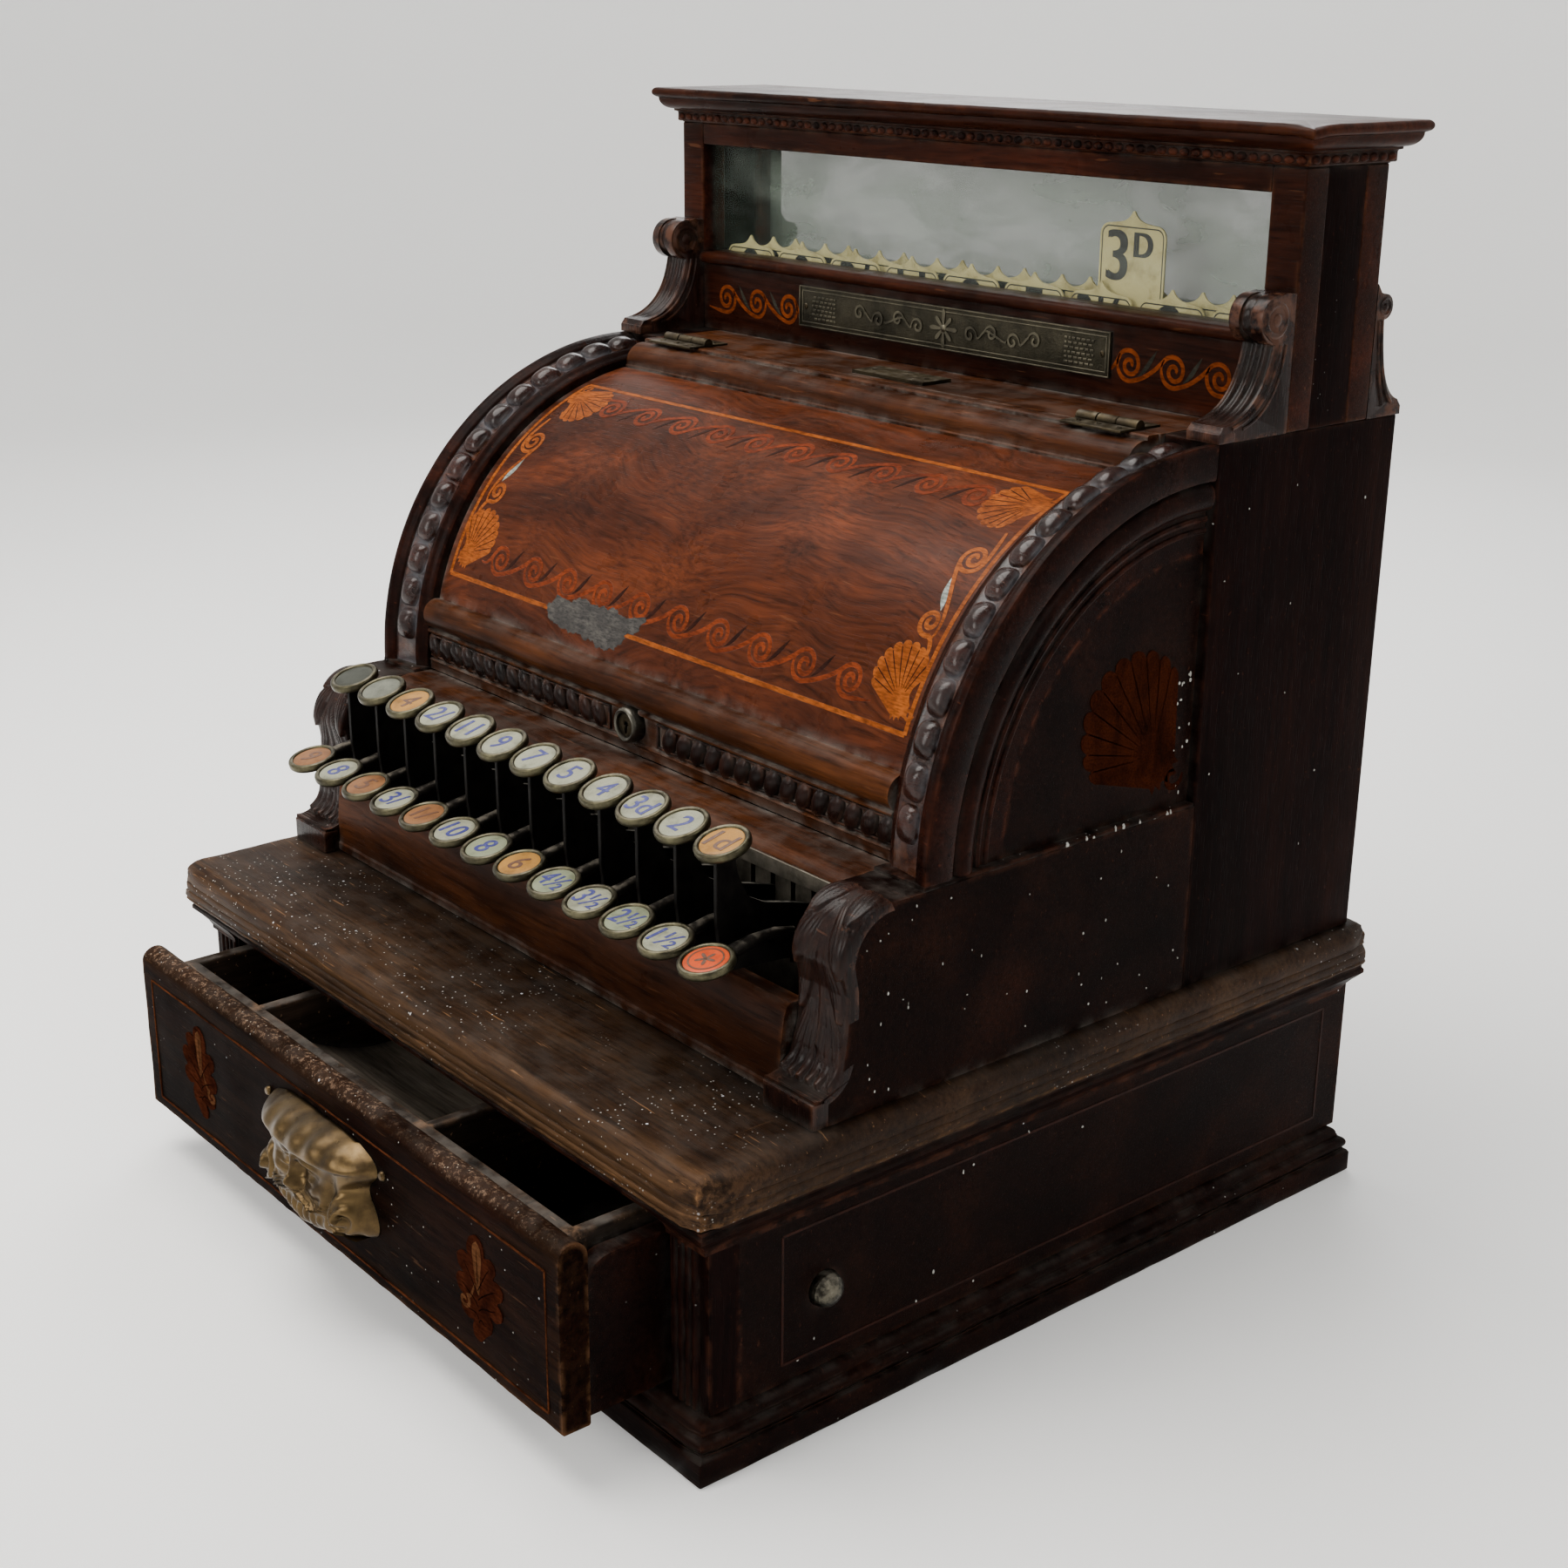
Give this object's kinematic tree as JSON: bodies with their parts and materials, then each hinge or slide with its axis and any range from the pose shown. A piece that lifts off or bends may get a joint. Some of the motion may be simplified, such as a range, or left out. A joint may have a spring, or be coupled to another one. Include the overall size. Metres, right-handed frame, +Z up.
{
  "type": "antique cash register",
  "caption": "Antique wooden cash register with a quarter-round lid, rows of round keys on sprung levers, pop-up price flags in a glazed tower and a wide till drawer.",
  "frame": {"origin": "middle of the footprint at floor level, with the drawer standing 60 mm open", "axes": "+X to the right seen from the operator's side, +Y from the operator to the customer, +Z up"},
  "size_m": [0.53, 0.561, 0.601],
  "materials": {
    "dark_mahogany": "aged French polish, near black in the hollows",
    "red_mahogany": "aged French polish with a red flame figure",
    "worn_top": "polish worn thin, scratched and dusty",
    "drawer_wood": "dull dark stain",
    "pine": "bare softwood darkened by age",
    "old_brass": "tarnished brass",
    "pull_brass": "cast brass, worn and tarnished",
    "black_steel": "oil blackened steel with nickelled key rings",
    "glass": "old clear sheet glass",
    "flag_enamel": "cream enamel on thin plate, black figures"
  },
  "bodies": {
    "cabinet": {"plinth": "dark_mahogany", "bottom_board": "pine", "base_sides": "dark_mahogany", "base_back": "dark_mahogany", "corner_posts": "dark_mahogany", "slab_cove": "dark_mahogany", "counter_slab": "worn_top", "drawer_runners": "pine", "cheeks": "dark_mahogany", "case_sides": "dark_mahogany", "case_back": "dark_mahogany", "deck_board": "red_mahogany", "deck_brasses": "old_brass", "key_apron": "red_mahogany", "key_ledge": "red_mahogany", "key_comb": "black_steel", "fulcrum_shaft": "black_steel", "tower_frame": "red_mahogany", "window_glass": "glass", "cornice": "dark_mahogany", "console_brackets": "dark_mahogany", "nameplate": "old_brass", "flag_rack": "black_steel", "lowered_flags": "flag_enamel", "bell": "old_brass"},
    "drawer": {"drawer_front": "drawer_wood", "drawer_box": "pine", "drawer_till": "drawer_wood", "drawer_pull": "pull_brass"},
    "lid": {"lid_panel": "red_mahogany", "lid_mouldings": "red_mahogany"},
    "lid_lock": {"lid_lock": "old_brass"},
    "release_button": {"release_button": "old_brass"},
    "raised_flag": {"raised_flag": "flag_enamel"},
    "bell_hammer": {"bell_hammer": "black_steel"},
    "key_01": {"key_01": "black_steel"},
    "key_02": {"key_02": "black_steel"},
    "key_03": {"key_03": "black_steel"},
    "key_04": {"key_04": "black_steel"},
    "key_05": {"key_05": "black_steel"},
    "key_06": {"key_06": "black_steel"},
    "key_07": {"key_07": "black_steel"},
    "key_08": {"key_08": "black_steel"},
    "key_09": {"key_09": "black_steel"},
    "key_10": {"key_10": "black_steel"},
    "key_11": {"key_11": "black_steel"},
    "key_12": {"key_12": "black_steel"},
    "key_13": {"key_13": "black_steel"},
    "key_14": {"key_14": "black_steel"},
    "key_15": {"key_15": "black_steel"},
    "key_16": {"key_16": "black_steel"},
    "key_17": {"key_17": "black_steel"},
    "key_18": {"key_18": "black_steel"},
    "key_19": {"key_19": "black_steel"},
    "key_20": {"key_20": "black_steel"},
    "key_21": {"key_21": "black_steel"},
    "key_22": {"key_22": "black_steel"},
    "key_23": {"key_23": "black_steel"},
    "key_24": {"key_24": "black_steel"},
    "key_25": {"key_25": "black_steel"}
  },
  "joints": [
    {"name": "drawer_slide", "type": "slide", "parent": "cabinet", "child": "drawer", "axis": [0, -1, 0], "range_m": [-0.0595, 0.2]},
    {"name": "lid_hinge", "type": "hinge", "parent": "cabinet", "child": "lid", "pos_m": [0, 0.1217, 0.4526], "axis": [-1, 0, 0], "range_deg": [0, 105]},
    {"name": "flag_lift", "type": "slide", "parent": "cabinet", "child": "raised_flag", "axis": [0, 0, 1], "range_m": [-0.038, 0]},
    {"name": "release_press", "type": "slide", "parent": "cabinet", "child": "release_button", "axis": [-1, 0, 0], "range_m": [0, 0.004], "stiffness_N_per_m": 600, "springref_m": -0.002},
    {"name": "lid_lock_turn", "type": "hinge", "parent": "lid", "child": "lid_lock", "pos_m": [0, -0.0565, 0.28], "axis": [0, -1, 0], "range_deg": [0, 90]},
    {"name": "hammer_swing", "type": "hinge", "parent": "cabinet", "child": "bell_hammer", "pos_m": [0.074, 0.2355, 0.43], "axis": [0, 1, 0], "range_deg": [-12, 15]},
    {"name": "key_01_press", "type": "hinge", "parent": "cabinet", "child": "key_01", "pos_m": [0, -0.0205, 0.207], "axis": [1, 0, 0], "range_deg": [0, 6], "stiffness_Nm_per_rad": 1.2, "springref_deg": -6.88},
    {"name": "key_02_press", "type": "hinge", "parent": "cabinet", "child": "key_02", "pos_m": [0, -0.0205, 0.207], "axis": [1, 0, 0], "range_deg": [0, 6], "stiffness_Nm_per_rad": 1.2, "springref_deg": -6.88},
    {"name": "key_03_press", "type": "hinge", "parent": "cabinet", "child": "key_03", "pos_m": [0, -0.0205, 0.207], "axis": [1, 0, 0], "range_deg": [0, 6], "stiffness_Nm_per_rad": 1.2, "springref_deg": -6.88},
    {"name": "key_04_press", "type": "hinge", "parent": "cabinet", "child": "key_04", "pos_m": [0, -0.0205, 0.207], "axis": [1, 0, 0], "range_deg": [0, 6], "stiffness_Nm_per_rad": 1.2, "springref_deg": -6.88},
    {"name": "key_05_press", "type": "hinge", "parent": "cabinet", "child": "key_05", "pos_m": [0, -0.0205, 0.207], "axis": [1, 0, 0], "range_deg": [0, 6], "stiffness_Nm_per_rad": 1.2, "springref_deg": -6.88},
    {"name": "key_06_press", "type": "hinge", "parent": "cabinet", "child": "key_06", "pos_m": [0, -0.0205, 0.207], "axis": [1, 0, 0], "range_deg": [0, 6], "stiffness_Nm_per_rad": 1.2, "springref_deg": -6.88},
    {"name": "key_07_press", "type": "hinge", "parent": "cabinet", "child": "key_07", "pos_m": [0, -0.0205, 0.207], "axis": [1, 0, 0], "range_deg": [0, 6], "stiffness_Nm_per_rad": 1.2, "springref_deg": -6.88},
    {"name": "key_08_press", "type": "hinge", "parent": "cabinet", "child": "key_08", "pos_m": [0, -0.0205, 0.207], "axis": [1, 0, 0], "range_deg": [0, 6], "stiffness_Nm_per_rad": 1.2, "springref_deg": -6.88},
    {"name": "key_09_press", "type": "hinge", "parent": "cabinet", "child": "key_09", "pos_m": [0, -0.0205, 0.207], "axis": [1, 0, 0], "range_deg": [0, 6], "stiffness_Nm_per_rad": 1.2, "springref_deg": -6.88},
    {"name": "key_10_press", "type": "hinge", "parent": "cabinet", "child": "key_10", "pos_m": [0, -0.0205, 0.207], "axis": [1, 0, 0], "range_deg": [0, 6], "stiffness_Nm_per_rad": 1.2, "springref_deg": -6.88},
    {"name": "key_11_press", "type": "hinge", "parent": "cabinet", "child": "key_11", "pos_m": [0, -0.0205, 0.207], "axis": [1, 0, 0], "range_deg": [0, 6], "stiffness_Nm_per_rad": 1.2, "springref_deg": -6.88},
    {"name": "key_12_press", "type": "hinge", "parent": "cabinet", "child": "key_12", "pos_m": [0, -0.0205, 0.207], "axis": [1, 0, 0], "range_deg": [0, 6], "stiffness_Nm_per_rad": 1.2, "springref_deg": -6.88},
    {"name": "key_13_press", "type": "hinge", "parent": "cabinet", "child": "key_13", "pos_m": [0, -0.0205, 0.207], "axis": [1, 0, 0], "range_deg": [0, 6], "stiffness_Nm_per_rad": 1.2, "springref_deg": -6.88},
    {"name": "key_14_press", "type": "hinge", "parent": "cabinet", "child": "key_14", "pos_m": [0, -0.0205, 0.207], "axis": [1, 0, 0], "range_deg": [0, 6], "stiffness_Nm_per_rad": 1.2, "springref_deg": -6.88},
    {"name": "key_15_press", "type": "hinge", "parent": "cabinet", "child": "key_15", "pos_m": [0, -0.0205, 0.207], "axis": [1, 0, 0], "range_deg": [0, 6], "stiffness_Nm_per_rad": 1.2, "springref_deg": -6.88},
    {"name": "key_16_press", "type": "hinge", "parent": "cabinet", "child": "key_16", "pos_m": [0, -0.0205, 0.207], "axis": [1, 0, 0], "range_deg": [0, 6], "stiffness_Nm_per_rad": 1.2, "springref_deg": -6.88},
    {"name": "key_17_press", "type": "hinge", "parent": "cabinet", "child": "key_17", "pos_m": [0, -0.0205, 0.207], "axis": [1, 0, 0], "range_deg": [0, 6], "stiffness_Nm_per_rad": 1.2, "springref_deg": -6.88},
    {"name": "key_18_press", "type": "hinge", "parent": "cabinet", "child": "key_18", "pos_m": [0, -0.0205, 0.207], "axis": [1, 0, 0], "range_deg": [0, 6], "stiffness_Nm_per_rad": 1.2, "springref_deg": -6.88},
    {"name": "key_19_press", "type": "hinge", "parent": "cabinet", "child": "key_19", "pos_m": [0, -0.0205, 0.207], "axis": [1, 0, 0], "range_deg": [0, 6], "stiffness_Nm_per_rad": 1.2, "springref_deg": -6.88},
    {"name": "key_20_press", "type": "hinge", "parent": "cabinet", "child": "key_20", "pos_m": [0, -0.0205, 0.207], "axis": [1, 0, 0], "range_deg": [0, 6], "stiffness_Nm_per_rad": 1.2, "springref_deg": -6.88},
    {"name": "key_21_press", "type": "hinge", "parent": "cabinet", "child": "key_21", "pos_m": [0, -0.0205, 0.207], "axis": [1, 0, 0], "range_deg": [0, 6], "stiffness_Nm_per_rad": 1.2, "springref_deg": -6.88},
    {"name": "key_22_press", "type": "hinge", "parent": "cabinet", "child": "key_22", "pos_m": [0, -0.0205, 0.207], "axis": [1, 0, 0], "range_deg": [0, 6], "stiffness_Nm_per_rad": 1.2, "springref_deg": -6.88},
    {"name": "key_23_press", "type": "hinge", "parent": "cabinet", "child": "key_23", "pos_m": [0, -0.0205, 0.207], "axis": [1, 0, 0], "range_deg": [0, 6], "stiffness_Nm_per_rad": 1.2, "springref_deg": -6.88},
    {"name": "key_24_press", "type": "hinge", "parent": "cabinet", "child": "key_24", "pos_m": [0, -0.0205, 0.207], "axis": [1, 0, 0], "range_deg": [0, 6], "stiffness_Nm_per_rad": 1.2, "springref_deg": -6.88},
    {"name": "key_25_press", "type": "hinge", "parent": "cabinet", "child": "key_25", "pos_m": [0, -0.0205, 0.207], "axis": [1, 0, 0], "range_deg": [0, 6], "stiffness_Nm_per_rad": 1.2, "springref_deg": -6.88}
  ]
}
